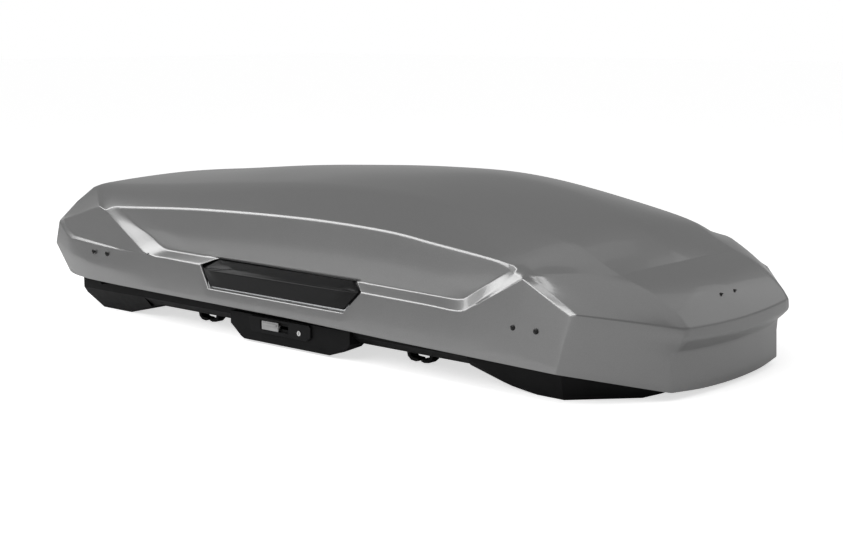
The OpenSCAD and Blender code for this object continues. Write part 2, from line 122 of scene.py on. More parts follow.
class Skin:
    """A mesh put together from patches, mirrored to both sides, with widths for its rounded edges."""

    widest = 8.0

    def __init__(self):
        self.bm = bmesh.new()
        self.creases = []

    def patch(self, grid, sides=(-1, 1)):
        for side in sides:
            flat = [self.bm.verts.new((p[0] * MM, p[1] * side * MM, p[2] * MM)) for p in grid.reshape(-1, 3)]
            rows, columns = grid.shape[:2]
            for i in range(rows - 1):
                for j in range(columns - 1):
                    a, b = i * columns + j, (i + 1) * columns + j
                    self.bm.faces.new([flat[k] for k in (a, b, b + 1, a + 1)])

    def round_edge(self, line, width, sides=(-1, 1)):
        self.creases += [(line * [1, side, 1] * MM, width) for side in sides]

    def mesh(self, name):
        bm = self.bm
        bmesh.ops.remove_doubles(bm, verts=bm.verts, dist=0.05 * MM)
        bmesh.ops.dissolve_degenerate(bm, edges=bm.edges, dist=0.04 * MM)
        bmesh.ops.recalc_face_normals(bm, faces=bm.faces)
        highest = max(bm.faces, key=lambda f: f.calc_center_median().z)
        if highest.normal.z < 0:
            bmesh.ops.reverse_faces(bm, faces=bm.faces)
        bm.verts.ensure_lookup_table()
        tree = KDTree(len(bm.verts))
        for v in bm.verts:
            tree.insert(v.co, v.index)
        tree.balance()
        weight = bm.edges.layers.float.new("bevel_weight_edge")
        for line, width in self.creases:
            found = [bm.verts[tree.find(p)[1]] for p in line]
            for a, b in zip(found, found[1:]):
                edge = bm.edges.get((a, b)) if a != b else None
                if edge:
                    edge[weight] = width / self.widest
        rounded = [e for e in bm.edges if e[weight]]
        shared = {v for e in rounded for v in e.verts}
        for edge in rounded:
            edge[weight] = min(edge[weight], room(edge, shared) / self.widest)
        for f in bm.faces:
            f.smooth = True
        mesh = bpy.data.meshes.new(name)
        bm.to_mesh(mesh)
        bm.free()
        return mesh


def piece(name, mesh, body, material, replaces=()):
    """A new object that rides on a body and stands for CAD nodes."""
    made = bpy.data.objects.new(name, mesh)
    bpy.context.scene.collection.objects.link(made)
    for m in material if isinstance(material, list) else [material]:
        mesh.materials.append(m)
    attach(made, body)
    if replaces:
        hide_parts(*replaces)
    return made


def modifier(made, kind, name, **settings):
    added = made.modifiers.new(name, kind)
    for key, value in settings.items():
        setattr(added, key, value)
    return added


# ---- Materials ----
def material(name, color, roughness, metallic=0.0, **sockets):
    """A principled material and the parts that its details are wired to."""
    made = bpy.data.materials.new(name)
    made.use_nodes = True
    tree = made.node_tree
    shader = tree.nodes["Principled BSDF"]
    shader.inputs["Base Color"].default_value = (*color, 1)
    shader.inputs["Roughness"].default_value = roughness
    shader.inputs["Metallic"].default_value = metallic
    for key, value in sockets.items():
        shader.inputs[key.replace("_", " ")].default_value = value
    place = tree.nodes.new("ShaderNodeTexCoord")
    return made, tree, shader, place


def noise(tree, place, scale, detail=2.0, stretch=(1, 1, 1)):
    """Noise in object space, scale in waves per metre."""
    mapping = tree.nodes.new("ShaderNodeMapping")
    mapping.inputs["Scale"].default_value = stretch
    tree.links.new(place.outputs["Object"], mapping.inputs["Vector"])
    made = tree.nodes.new("ShaderNodeTexNoise")
    made.inputs["Scale"].default_value = scale
    made.inputs["Detail"].default_value = detail
    tree.links.new(mapping.outputs["Vector"], made.inputs["Vector"])
    return made.outputs["Fac"]


def ramp(tree, value, low, high, start=0.3, stop=0.7):
    made = tree.nodes.new("ShaderNodeValToRGB")
    made.color_ramp.elements[0].position = start
    made.color_ramp.elements[1].position = stop
    made.color_ramp.elements[0].color = (*low, 1)
    made.color_ramp.elements[1].color = (*high, 1)
    tree.links.new(value, made.inputs["Fac"])
    return made.outputs["Color"]


def spread(tree, value, low, high):
    made = tree.nodes.new("ShaderNodeMapRange")
    made.inputs["To Min"].default_value = low
    made.inputs["To Max"].default_value = high
    tree.links.new(value, made.inputs["Value"])
    return made.outputs["Result"]


def bump(tree, shader, height, depth, strength=1.0, socket="Normal"):
    made = tree.nodes.new("ShaderNodeBump")
    made.inputs["Distance"].default_value = depth
    made.inputs["Strength"].default_value = strength
    tree.links.new(height, made.inputs["Height"])
    tree.links.new(made.outputs["Normal"], shader.inputs[socket])


def titan_paint():
    """Metallic grey cap layer: fine flakes, a faint drift in tone and a smooth clear coat."""
    made, tree, shader, place = material(
        "titan_paint", (0.27, 0.27, 0.27), 0.3, 0.8, Coat_Weight=0.5, Coat_Roughness=0.05
    )
    flakes = ramp(tree, noise(tree, place, 1400, 3), (0.235, 0.235, 0.236), (0.315, 0.315, 0.314))
    tree.links.new(flakes, shader.inputs["Base Color"])
    drift = noise(tree, place, 6, 3)
    tree.links.new(spread(tree, drift, 0.27, 0.32), shader.inputs["Roughness"])
    bump(tree, shader, noise(tree, place, 900, 2), 0.00002, 0.35)
    return made


def grained_plastic(name, color, roughness, grain=420, depth=0.00012):
    """Moulded plastic with a leathery grain and rubbed-in dust in its tone."""
    made, tree, shader, place = material(name, color, roughness, 0.0, Specular_IOR_Level=0.12)
    low, high = [c * 0.75 for c in color], [c * 1.3 for c in color]
    tree.links.new(ramp(tree, noise(tree, place, 14, 5), low, high, 0.25, 0.75), shader.inputs["Base Color"])
    rough = spread(tree, noise(tree, place, 60, 4), roughness - 0.08, roughness + 0.08)
    tree.links.new(rough, shader.inputs["Roughness"])
    cells = tree.nodes.new("ShaderNodeTexVoronoi")
    cells.inputs["Scale"].default_value = grain
    tree.links.new(place.outputs["Object"], cells.inputs["Vector"])
    bump(tree, shader, cells.outputs["Distance"], depth, 0.6)
    return made


def glossy_plastic(name, color, roughness=0.16):
    """Smooth moulding with faint flow marks along its length."""
    made, tree, shader, place = material(name, color, roughness, 0.0, Specular_IOR_Level=0.22)
    flow = noise(tree, place, 18, 4, (0.3, 1, 3))
    low, high = [c * 0.8 for c in color], [c * 1.25 for c in color]
    tree.links.new(ramp(tree, flow, low, high), shader.inputs["Base Color"])
    rough = spread(tree, noise(tree, place, 90, 3), roughness * 0.8, roughness * 1.35)
    tree.links.new(rough, shader.inputs["Roughness"])
    bump(tree, shader, noise(tree, place, 260, 2), 0.00001, 0.2)
    return made


def metal(name, color, roughness, stretch=(1, 1, 1), spangle=0.0):
    """Metal with fine drawn lines, and zinc spangle where spangle is over 0."""
    made, tree, shader, place = material(name, color, roughness, 1.0)
    lines = noise(tree, place, 240, 4, stretch)
    low, high = [c * 0.82 for c in color], [min(1, c * 1.1) for c in color]
    tone = lines
    if spangle:
        cells = tree.nodes.new("ShaderNodeTexVoronoi")
        cells.inputs["Scale"].default_value = 130
        tree.links.new(place.outputs["Object"], cells.inputs["Vector"])
        tone = cells.outputs["Distance"]
    tree.links.new(ramp(tree, tone, low, high), shader.inputs["Base Color"])
    tree.links.new(spread(tree, lines, roughness - 0.07, roughness + 0.1), shader.inputs["Roughness"])
    bump(tree, shader, lines, 0.00003, 0.4)
    return made


def woven(name, color):
    """Ribbed polyester webbing: a fine twill of two crossed sets of yarns."""
    made, tree, shader, place = material(name, color, 0.75, 0.0, Sheen_Weight=0.3)
    heights = []
    for rotation, scale in ((0.6, 420), (-0.6, 420)):
        mapping = tree.nodes.new("ShaderNodeMapping")
        mapping.inputs["Rotation"].default_value = (0, 0, rotation)
        tree.links.new(place.outputs["Object"], mapping.inputs["Vector"])
        wave = tree.nodes.new("ShaderNodeTexWave")
        wave.inputs["Scale"].default_value = scale
        wave.inputs["Distortion"].default_value = 0.4
        tree.links.new(mapping.outputs["Vector"], wave.inputs["Vector"])
        heights.append(wave.outputs["Fac"])
    weave = tree.nodes.new("ShaderNodeMath")
    weave.operation = "MAXIMUM"
    tree.links.new(heights[0], weave.inputs[0])
    tree.links.new(heights[1], weave.inputs[1])
    low, high = [c * 0.55 for c in color], [c * 1.5 for c in color]
    tree.links.new(ramp(tree, weave.outputs["Value"], low, high, 0.2, 0.9), shader.inputs["Base Color"])
    bump(tree, shader, weave.outputs["Value"], 0.0002, 0.8)
    return made


PAINT = titan_paint()
LINER = grained_plastic("lid_inside", (0.02, 0.02, 0.021), 0.62, 300, 0.0001)
BASE = grained_plastic("base_black", (0.006, 0.006, 0.0063), 0.5, 500, 0.00008)
TRIM = grained_plastic("trim_black", (0.008, 0.008, 0.0085), 0.45, 700, 0.00005)
GLOSS = glossy_plastic("inlay_black", (0.004, 0.004, 0.0043), 0.3)
RIVET = glossy_plastic("rivet_black", (0.01, 0.01, 0.01), 0.1)
SLIDER = grained_plastic("slider_grey", (0.33, 0.33, 0.33), 0.4, 900, 0.00003)
KNOB = grained_plastic("knob_red", (0.42, 0.014, 0.012), 0.42, 600, 0.00006)
KEY = metal("key_metal", (0.72, 0.72, 0.72), 0.22, (1, 1, 1))
STEEL = metal("zinc_steel", (0.55, 0.56, 0.58), 0.34, (0.2, 1, 1), 0.5)
ALUMINIUM = metal("rail_aluminium", (0.74, 0.75, 0.76), 0.3, (0.05, 1, 1))
ARM = glossy_plastic("arm_black", (0.02, 0.02, 0.02), 0.35)
WEBBING = woven("webbing", (0.035, 0.036, 0.04))


# ---- Lid ----
# Corners of the lid's facets. Names: rear to front along the side, then the nose.
ROOF_REAR = (-945, 0, 380)
RIDGE_REAR = (-946, 345, 366)
REAR_CORNER = (-1034, 426, 254)
STEP_TOP = (-1009, 424, 261)
BAND_TOP = (-831, 425, 316)
BAND_START = (-800, 427, 306)
BAND_FOOT = (-551, 452, 198)
BAND_FOOT_IN = (-512, 430, 215)
PANEL_REAR = (-739, 420, 315)
PANEL_REAR_OUT = (-739, 417, 321)
PANEL_FRONT = (699, 420, 289)
PANEL_FRONT_OUT = (692, 417, 302.5)
BAND_PEAK = (716, 418, 293)
CHAMFER_TOP = (760, 426, 281.5)
FACET_TOP = (748, 438, 276)
FACET_FOOT = (886, 445, 207)
CHAMFER_FOOT = (901, 440, 212.5)
BAND_FRONT_FOOT = (592, 452, 185)
BAND_FRONT_FOOT_IN = (569, 429.5, 206)
WEDGE_START = (617, 450, 200)
BELT_DIP = (566, 452, 180)
INLAY_REAR = (-351, 452, 193)
INLAY_REAR_LOW = (-310, 459.5, 134)
INLAY_REAR_HIGH = (-298, 430, 214)
INLAY_FRONT = (256, 452, 187.5)
INLAY_FRONT_LOW = (200, 459.5, 131)
INLAY_FRONT_HIGH = (222, 430, 209)
STEP_KNEE = (-953, 440, 208)
STEP_KNEE_TOP = (-945, 434, 219)
STEP_END = (-655, 451, 199.5)
LIP_TOP_CENTRE = (-1058, 0, 262)
LIP_FOOT = (-1054, 426, 186)
LIP_FOOT_CENTRE = (-1075, 0, 187)
TAIL_FOOT = (-984, 430, 108)
TAIL_FOOT_CENTRE = (-1009, 0, 107)
RIM_REAR = (-928, 440, 99)
RIM_REAR_CENTRE = (-967, 0, 97)
SIDE_MID_REAR = (-943, 446, 150)
REAR_SLOPE_MID = (-988, 390, 315)
HOOD_TOP = (898, 266, 277)
HOOD_TOP_CENTRE = (908, 0, 280)
NOSE_CORNER = (1061, 248, 172)
NOSE_TIP = (1075, 0, 165)
RIM_NOSE = (1033, 252, 20)
RIM_NOSE_CENTRE = (1055, 0, 11)
PANEL_SPANS = (8, 24, 16)  # grid spans behind, along and ahead of the inlay
ROOF_SPANS = 58


def rim(x):
    """Lower edge of the lid's side."""
    return (x, np.interp(x, [-928, -850, -700, -560], [440, 455, 463, 465]),
            np.interp(x, [-560, 0, 389, 863], [97, 92, 83, 75]))


def roof_section(centre, ridge, foot, setback):
    """Half a cross-section: crowned from the centre line, rounded over the ridge, then down the shoulder."""
    centre, ridge, foot = np.array(centre), np.array(ridge), np.array(foot)
    reach = np.linalg.norm(ridge - centre)
    s = np.linspace(0, 1 - setback / reach, 10)[:, None]
    flat = centre + (ridge - centre) * s
    flat[:, 2] = centre[2] + (ridge[2] - centre[2]) * s[:, 0] ** 1.8
    fall = np.linalg.norm(foot - ridge)
    out = np.array([0, ridge[2] - foot[2], foot[1] - ridge[1]]) / fall
    t = np.linspace(setback / fall, 1, 6)[:, None]
    shoulder = ridge + (foot - ridge) * t + out * 5 * 4 * t * (1 - t)
    b = np.array([0.25, 0.5, 0.75])[:, None]
    over = (1 - b) ** 2 * flat[-1] + 2 * b * (1 - b) * ridge + b * b * shoulder[0]
    return np.vstack([flat, over, shoulder])


RIDGE_AT = 11  # the section's point on the ridge


def lid_mesh():
    skin = Skin()
    behind, along, ahead = PANEL_SPANS
    c = {
        "band_top": curve([BAND_TOP, BAND_START], 2),
        "band_lip": curve([BAND_START, (-785, 423, 313), (-765, 419, 318.5), PANEL_REAR_OUT], 4),
        "panel_out": curve(
            [PANEL_REAR_OUT, (-383, 417, 343), (11, 417, 353), (303, 417, 347), (464, 417, 331), (600, 417, 316.5),
             (654, 417, 309.5), PANEL_FRONT_OUT], sum(PANEL_SPANS)),
        "panel_in": curve(
            [PANEL_REAR, (-383, 420, 337), (11, 420, 347), (303, 420, 341), (464, 420, 325), (600, 420, 310.5),
             (660, 420, 302), PANEL_FRONT], sum(PANEL_SPANS)),
        "peak": curve([PANEL_FRONT_OUT, (706, 417, 299.5), BAND_PEAK], 2),
        "peak_end": curve([BAND_PEAK, CHAMFER_TOP], 2),
        "band_outer": curve(
            [BAND_START, (-714, 437, 261), (-627, 446, 217), (-598, 449, 205.5), BAND_FOOT], 11),
        "band_inner": chain(
            curve([PANEL_REAR_OUT, PANEL_REAR], 1),
            curve([PANEL_REAR, (-692, 422, 288), (-652, 424, 270), (-593, 426, 250), (-542, 428, 223),
                   BAND_FOOT_IN], 10)),
        "band_foot": curve([BAND_FOOT, BAND_FOOT_IN], 4),
        "front_outer": chain(
            curve([BAND_FRONT_FOOT, WEDGE_START], 2),
            curve([WEDGE_START, (641, 445, 221), (679, 434, 250), (704, 424, 273), BAND_PEAK], 9)),
        "front_inner": chain(
            curve([BAND_FRONT_FOOT_IN, (587, 428, 217), (606, 426, 230), (644, 424, 253), (678, 422, 275),
                   PANEL_FRONT], 10),
            curve([PANEL_FRONT, PANEL_FRONT_OUT], 1)),
        "front_foot": curve([BAND_FRONT_FOOT, BAND_FRONT_FOOT_IN], 2),
        "shelf_in_rear": curve([BAND_FOOT_IN, INLAY_REAR_HIGH], behind),
        "shelf_in_mid": curve([INLAY_REAR_HIGH, INLAY_FRONT_HIGH], along),
        "shelf_in_front": curve(
            [INLAY_FRONT_HIGH, (480, 430, 204), (540, 430, 202.5), BAND_FRONT_FOOT_IN], ahead),
        "shelf_out_rear": curve([BAND_FOOT, INLAY_REAR], behind),
        "shelf_out_front": curve([INLAY_FRONT, (480, 452, 183), (540, 452, 180), BELT_DIP], ahead - 2),
        "dip": curve([BELT_DIP, (580, 452, 181.5), BAND_FRONT_FOOT], 2),
        "wedge_low": curve([WEDGE_START, FACET_TOP], 9),
        "chamfer_low": curve([FACET_TOP, (815, 441.5, 242), FACET_FOOT], 8),
        "chamfer_high": curve([CHAMFER_TOP, (828, 433, 248.5), CHAMFER_FOOT], 8),
        "chamfer_end": curve([FACET_FOOT, CHAMFER_FOOT], 1),
        "step_rear": curve([REAR_CORNER, (-984, 435, 220), STEP_KNEE], 3),
        "step_low": curve([STEP_KNEE, (-769, 448, 200.5), STEP_END], 7),
        "step_rear_top": curve([STEP_TOP, (-975, 430, 231), STEP_KNEE_TOP], 3),
        "step_high": curve([STEP_KNEE_TOP, (-771, 444, 206.5), STEP_END], 7),
        "step_out": curve([STEP_END, BAND_FOOT], 3),
        "facet_top": curve([STEP_TOP, BAND_TOP], 5),
    }

    # Roof and shoulder
    centre = curve([ROOF_REAR, (-681, 0, 405), (-415, 0, 430), (-190, 0, 444), (44, 0, 455), (309, 0, 458),
                    (535, 0, 432), (740, 0, 380), (863, 0, 312), HOOD_TOP_CENTRE], ROOF_SPANS)
    ridge = curve([RIDGE_REAR, (-751, 335, 375), (-495, 322, 393), (-110, 300, 421), (191, 285, 424),
                   (418, 277, 405), (731, 270, 350), (841, 267, 303), HOOD_TOP], ROOF_SPANS)
    foot = chain(c["band_top"], c["band_lip"], c["panel_out"], c["peak"], c["peak_end"])
    setback = np.interp(ridge[:, 0], [-946, -300, 300, 898], [40, 34, 16, 9])
    roof = np.stack([roof_section(*row) for row in zip(centre, ridge, foot, setback)])
    valley = curve([CHAMFER_TOP, (797, 412, 287), (850, 338, 285), HOOD_TOP], 7)
    fade = np.linspace(1, 0, 7)[:, None, None]
    shift = np.zeros_like(roof[-1])
    shift[RIDGE_AT:] = valley[::-1] - roof[-1][RIDGE_AT:]
    roof[-7:] += fade[::-1] ** 2 * shift[None]
    skin.patch(roof)

    # Rear end
    ridge_low = curve([RIDGE_REAR, REAR_SLOPE_MID], 6)
    ridge_low[0] = roof[0, RIDGE_AT]
    corner_low = curve([REAR_SLOPE_MID, REAR_CORNER], 7)
    lip_top = curve([LIP_TOP_CENTRE, (-1056, 250, 262), (-1050, 370, 260), REAR_CORNER], RIDGE_AT)
    lip_foot = curve([LIP_FOOT_CENTRE, (-1073, 250, 187), (-1067, 370, 187), LIP_FOOT], RIDGE_AT)
    tail_foot = curve([TAIL_FOOT_CENTRE, (-1009, 280, 107), (-1004, 380, 107.5), TAIL_FOOT], RIDGE_AT)
    rim_rear = curve([RIM_REAR_CENTRE, (-967, 280, 97), (-964, 380, 97.5), RIM_REAR], RIDGE_AT)
    lip_side = curve([LIP_FOOT, REAR_CORNER], 4)
    tail_side = curve([TAIL_FOOT, LIP_FOOT], 3)
    rim_corner = curve([TAIL_FOOT, (-962, 434, 101.5), RIM_REAR], 3)
    side_low = curve([RIM_REAR, SIDE_MID_REAR], 3)
    side_high = curve([SIDE_MID_REAR, STEP_KNEE], 4)
    side_mid = curve([LIP_FOOT, SIDE_MID_REAR], 3)
    skin.patch(coons(roof[0, : RIDGE_AT + 1], lip_top, curve([ROOF_REAR, (-1000, 0, 330), LIP_TOP_CENTRE], 13),
                     chain(ridge_low, corner_low)))
    skin.patch(coons(chain(curve([REAR_CORNER, STEP_TOP], 1), c["facet_top"]), ridge_low[::-1], corner_low[::-1],
                     roof[0, RIDGE_AT:][::-1]))
    skin.patch(coons(lip_foot, lip_top, curve([LIP_FOOT_CENTRE, LIP_TOP_CENTRE], 4), lip_side))
    skin.patch(coons(tail_foot, lip_foot, curve([TAIL_FOOT_CENTRE, LIP_FOOT_CENTRE], 3), tail_side))
    skin.patch(coons(rim_rear, tail_foot, curve([RIM_REAR_CENTRE, TAIL_FOOT_CENTRE], 3), rim_corner[::-1]))
    skin.patch(coons(side_mid, c["step_rear"], lip_side, side_high))
    skin.patch(coons(rim_corner, side_mid, tail_side, side_low))

    # Side facet behind the band, and the step below it
    skin.patch(coons(chain(c["step_rear"], c["step_low"]), chain(c["step_rear_top"], c["step_high"]),
                     curve([REAR_CORNER, STEP_TOP], 1), corner(STEP_END, 1)))
    skin.patch(coons(chain(c["step_rear_top"], c["step_high"], c["step_out"]),
                     chain(c["band_top"], c["band_outer"]), c["facet_top"], corner(BAND_FOOT, 5)))

    # Lower side, with the recess for the inlay
    def side_line(top, count=7):
        base = rim(top[0])
        middle = ((base[0] + top[0]) / 2, (base[1] + top[1]) / 2 + 1.0, (base[2] + top[2]) / 2)
        return curve([base, middle, top], count)

    rim_points = lambda start, stop, count: np.array([rim(x) for x in np.linspace(start, stop, count + 1)])
    rear_line = chain(side_low, side_high)
    foot_line, inlay_line = side_line(BAND_FOOT), side_line(INLAY_REAR)
    front_line, dip_line, top_line = side_line(INLAY_FRONT), side_line(BELT_DIP), side_line(FACET_TOP)
    rim_rear_side = rim_points(-928, -551, 10)
    skin.patch(coons(rim_rear_side, chain(c["step_low"], c["step_out"]), rear_line, foot_line))
    skin.patch(coons(rim_points(-551, -351, behind), c["shelf_out_rear"], foot_line, inlay_line))
    recess_low = chain(curve([INLAY_REAR, INLAY_REAR_LOW], 3), curve([INLAY_REAR_LOW, INLAY_FRONT_LOW], 18),
                       curve([INLAY_FRONT_LOW, INLAY_FRONT], 3))
    rim_inlay = chain(rim_points(-351, -320, 3), rim_points(-320, 193, 18), rim_points(193, 256, 3))
    skin.patch(coons(rim_inlay, recess_low, inlay_line, front_line))
    skin.patch(coons(rim_points(256, 566, ahead - 2), c["shelf_out_front"], front_line, dip_line))
    skin.patch(coons(rim_points(566, 748, 13),
                     chain(c["dip"], curve([BAND_FRONT_FOOT, WEDGE_START], 2), c["wedge_low"]),
                     dip_line, top_line))
    front_edge = curve([rim(863), FACET_FOOT], 7)
    skin.patch(coons(rim_points(748, 863, 8), c["chamfer_low"], top_line, front_edge))
    shelf_rear_end = curve([INLAY_REAR, INLAY_REAR_HIGH], 4)
    shelf_front_end = curve([INLAY_FRONT, INLAY_FRONT_HIGH], 2)
    recess = chain(recess_low, shelf_front_end, c["shelf_in_mid"][::-1], shelf_rear_end[::-1])
    wall_depth = np.array([0, 9.0, 0])
    skin.patch(np.stack([recess, recess - wall_depth], 1))

    # Band round the panel, shelf under it and the panel itself
    skin.patch(coons(c["band_outer"], c["band_inner"], c["band_lip"], c["band_foot"]))
    skin.patch(coons(c["shelf_out_rear"], c["shelf_in_rear"], c["band_foot"], shelf_rear_end))
    skin.patch(coons(chain(c["shelf_out_front"], c["dip"]), c["shelf_in_front"], shelf_front_end, c["front_foot"]))
    skin.patch(coons(c["front_outer"], c["front_inner"], c["front_foot"], c["peak"][::-1]))
    skin.patch(np.stack([c["panel_in"], c["panel_out"]], 1))
    skin.patch(coons(chain(c["shelf_in_rear"], c["shelf_in_mid"], c["shelf_in_front"]), c["panel_in"],
                     c["band_inner"][1:][::-1], c["front_inner"][:-1], 3.0))
    skin.patch(coons(c["wedge_low"], c["front_outer"][2:], corner(WEDGE_START, 3),
                     chain(curve([FACET_TOP, CHAMFER_TOP], 1), c["peak_end"][::-1])))
    skin.patch(coons(c["chamfer_low"], c["chamfer_high"], curve([FACET_TOP, CHAMFER_TOP], 1), c["chamfer_end"]))

    # Hood
    crease = curve([HOOD_TOP, (965, 262, 250), (1030, 254, 206), NOSE_CORNER], 8)
    hood_centre = curve([HOOD_TOP_CENTRE, (965, 0, 257), (1028, 0, 221), (1058, 0, 189), NOSE_TIP], 8)
    hood_edge = curve([CHAMFER_FOOT, NOSE_CORNER], 7)
    lip_line = curve([NOSE_CORNER, (1070, 150, 168.5), (1074, 60, 166), NOSE_TIP], RIDGE_AT)
    skin.patch(coons(c["chamfer_high"], crease, valley, hood_edge))
    skin.patch(coons(crease, hood_centre, roof[-1, : RIDGE_AT + 1][::-1], lip_line))

    # Nose: slanted corner, then lip, undercut and apron
    corner_column = chain(
        curve([RIM_NOSE, (1030, 250, 110)], 4), curve([(1030, 250, 110), (1046, 250, 129), (1062, 250, 146)], 2),
        curve([(1062, 250, 146), NOSE_CORNER], 1))
    centre_column = chain(
        curve([RIM_NOSE_CENTRE, (1052, 0, 105)], 4), curve([(1052, 0, 105), (1064, 0, 120), (1075, 0, 133)], 2),
        curve([(1075, 0, 133), NOSE_TIP], 1))
    straight = curve([RIM_NOSE, NOSE_CORNER], 7)
    facet = coons(curve([rim(863), RIM_NOSE], 8), chain(c["chamfer_end"], hood_edge), front_edge, straight)
    ease = np.linspace(0, 1, 9)[:, None, None] ** 3
    facet += ease * (corner_column - straight)[None]
    skin.patch(facet)
    skin.patch(coons(curve([RIM_NOSE, (1048, 150, 14), (1054, 60, 11.5), RIM_NOSE_CENTRE], RIDGE_AT), lip_line,
                     corner_column, centre_column))

    for line, width in [
        (c["panel_out"], 2.4), (c["panel_in"], 2.4), (chain(c["band_top"], c["band_lip"]), 2.4),
        (c["band_outer"], 3.0), (c["band_inner"], 3.0), (c["front_outer"], 2.6), (c["front_inner"], 2.6),
        (c["peak"], 2.4), (chain(c["shelf_in_rear"]), 3.4), (c["shelf_in_front"], 3.4), (c["shelf_out_rear"], 3.4),
        (c["shelf_out_front"], 3.4), (c["dip"], 3.4), (c["wedge_low"], 3.0), (c["chamfer_low"], 2.6),
        (c["chamfer_high"], 2.6), (c["chamfer_end"], 2.6), (c["step_rear"], 3.4), (c["step_low"], 3.4),
        (c["step_rear_top"], 3.4), (c["step_high"], 3.4), (c["facet_top"], 4.0), (recess_low, 4.0),
        (shelf_rear_end, 3.4), (shelf_front_end, 2.6), (hood_edge, 3.4), (lip_line, 4.2), (front_edge, 3.4),
        (valley, 6.0), (roof[0, : RIDGE_AT + 1], 5.0), (roof[0, RIDGE_AT:], 4.0),
        (chain(ridge_low, corner_low), 4.0), (lip_top, 5.0), (lip_side, 5.0), (lip_foot, 5.0), (tail_foot, 5.0),
        (tail_side, 5.0), (roof[-1, : RIDGE_AT + 1], 4.0), (corner_column[:5], 6.0),
    ]:
        skin.round_edge(line, width)
    rows = coons(curve([RIM_NOSE, (1048, 150, 14), (1054, 60, 11.5), RIM_NOSE_CENTRE], RIDGE_AT), lip_line,
                 corner_column, centre_column)
    skin.round_edge(rows[:, 4], 7.0)
    skin.round_edge(rows[:, 6], 7.0)
    return skin.mesh("lid")


def lid():
    made = piece("lid", lid_mesh(), "lid", [PAINT, LINER], ["lid_shell"])
    modifier(made, "BEVEL", "edges", limit_method="WEIGHT", width=Skin.widest * MM, segments=3, profile=0.5,
             offset_type="OFFSET", use_clamp_overlap=False, miter_outer="MITER_SHARP")
    modifier(made, "SOLIDIFY", "wall", thickness=3 * MM, offset=-1, material_offset=1, use_rim=True)
    modifier(made, "WEIGHTED_NORMAL", "shading", keep_sharp=False, weight=50)
    return made


lid()


# ---- Inlay on the side of the lid ----
AXIS_ENDS = (-250, 180)  # the flange spreads outward from this line along the bar
AXIS_HEIGHT = 165
FLANGE = 15
FLANGE_DEPTH = 9


def inlay_mesh(side):
    """Long cut-gem bar: a slanted facet along its top, a fold between its tips and a facet under the fold."""
    rear_tip, front_tip = (-342, 450, 185), (247, 450, 187)
    fold_rear, fold_front = (-300, 462, 183), (205, 462, 186)
    top = curve([(-295, 431, 211), (207, 431, 208.5)], 24)
    ledge = curve([(-223, 453, 195), (192, 453, 191)], 24)
    fold = chain(curve([rear_tip, fold_rear], 3), curve([fold_rear, fold_front], 24),
                 curve([fold_front, front_tip], 3))
    foot = curve([(-306, 456.5, 139), (197, 456.5, 137)], 30)
    ends = [curve([rear_tip, top[0]], 4), curve([front_tip, top[-1]], 4)]
    skin = Skin()
    skin.patch(coons(ledge, top, curve([ledge[0], top[0]], 4), curve([ledge[-1], top[-1]], 4)), (side,))
    skin.patch(coons(fold[3:-3], ledge, curve([fold_rear, ledge[0]], 3), curve([fold_front, ledge[-1]], 3)),
               (side,))
    for tip, folded, end, tilt in ((fold[:4], fold_rear, ends[0], 0),
                                   (fold[-4:][::-1], fold_front, ends[1], -1)):
        skin.patch(coons(tip, corner(ledge[tilt], 3), curve([tip[0], ledge[tilt]], 3),
                         curve([folded, ledge[tilt]], 3)), (side,))
        skin.patch(coons(curve([tip[0], ledge[tilt]], 4), end, corner(tip[0], 2),
                         curve([ledge[tilt], end[-1]], 2)), (side,))
    skin.patch(coons(foot, fold, curve([foot[0], rear_tip], 4), curve([foot[-1], front_tip], 4)), (side,))
    rim_line = chain(ends[0][::-1], curve([rear_tip, foot[0]], 4), foot, curve([foot[-1], front_tip], 4),
                     ends[1])
    loop = chain(rim_line, top[::-1])
    height = np.full(len(loop), AXIS_HEIGHT)
    outward = loop - np.stack([np.clip(loop[:, 0], *AXIS_ENDS), loop[:, 1], height], 1)
    outward *= FLANGE / np.linalg.norm(outward, axis=1)[:, None]
    seat = loop - [0, FLANGE_DEPTH, 0]
    skin.patch(np.stack([loop, seat, seat + outward], 1), (side,))
    for line, width in ((top, 2.5), (ledge, 2.0), (fold, 2.5), (foot, 3.0), (rim_line, 2.5)):
        skin.round_edge(line, width, (side,))
    return skin.mesh("inlay")


for side_name, side_sign in SIDES.items():
    bar = piece(f"inlay_{side_name}", inlay_mesh(side_sign), "lid", GLOSS,
                [f"lid_inlay_{side_name}"])
    modifier(bar, "BEVEL", "edges", limit_method="WEIGHT", width=Skin.widest * MM, segments=3)
    modifier(bar, "SOLIDIFY", "wall", thickness=2 * MM, offset=-1)
    modifier(bar, "WEIGHTED_NORMAL", "shading", weight=50)


# ---- Carried-over CAD nodes ----
LOOKS = {  # by the start of the node's name: its material and, in millimetres, its edge rounding
    "base_tray": (BASE, 2.0), "latch_seats": (BASE, 0.8), "lock_housing": (TRIM, 0.8), "claw": (TRIM, 1.2),
    "clamp_housing": (TRIM, 1.6), "strap_buckles": (TRIM, 1.0), "lock_slider": (SLIDER, 0.5),
    "lock_rod": (STEEL, 0.4), "key_cylinder": (KEY, 0.3), "clamp_knob": (KNOB, 1.2),
    "lid_rail": (ALUMINIUM, 0.4), "lid_rivets": (RIVET, 0.0), "lid_inlay": (GLOSS, 1.5),
    "load_straps": (WEBBING, 0.4), "lifter_lower_arm": (ARM, 0.5), "lifter_upper_arm": (ARM, 0.5),
    "clamp_track": (STEEL, 0.4), "side_rail": (STEEL, 0.4),
}


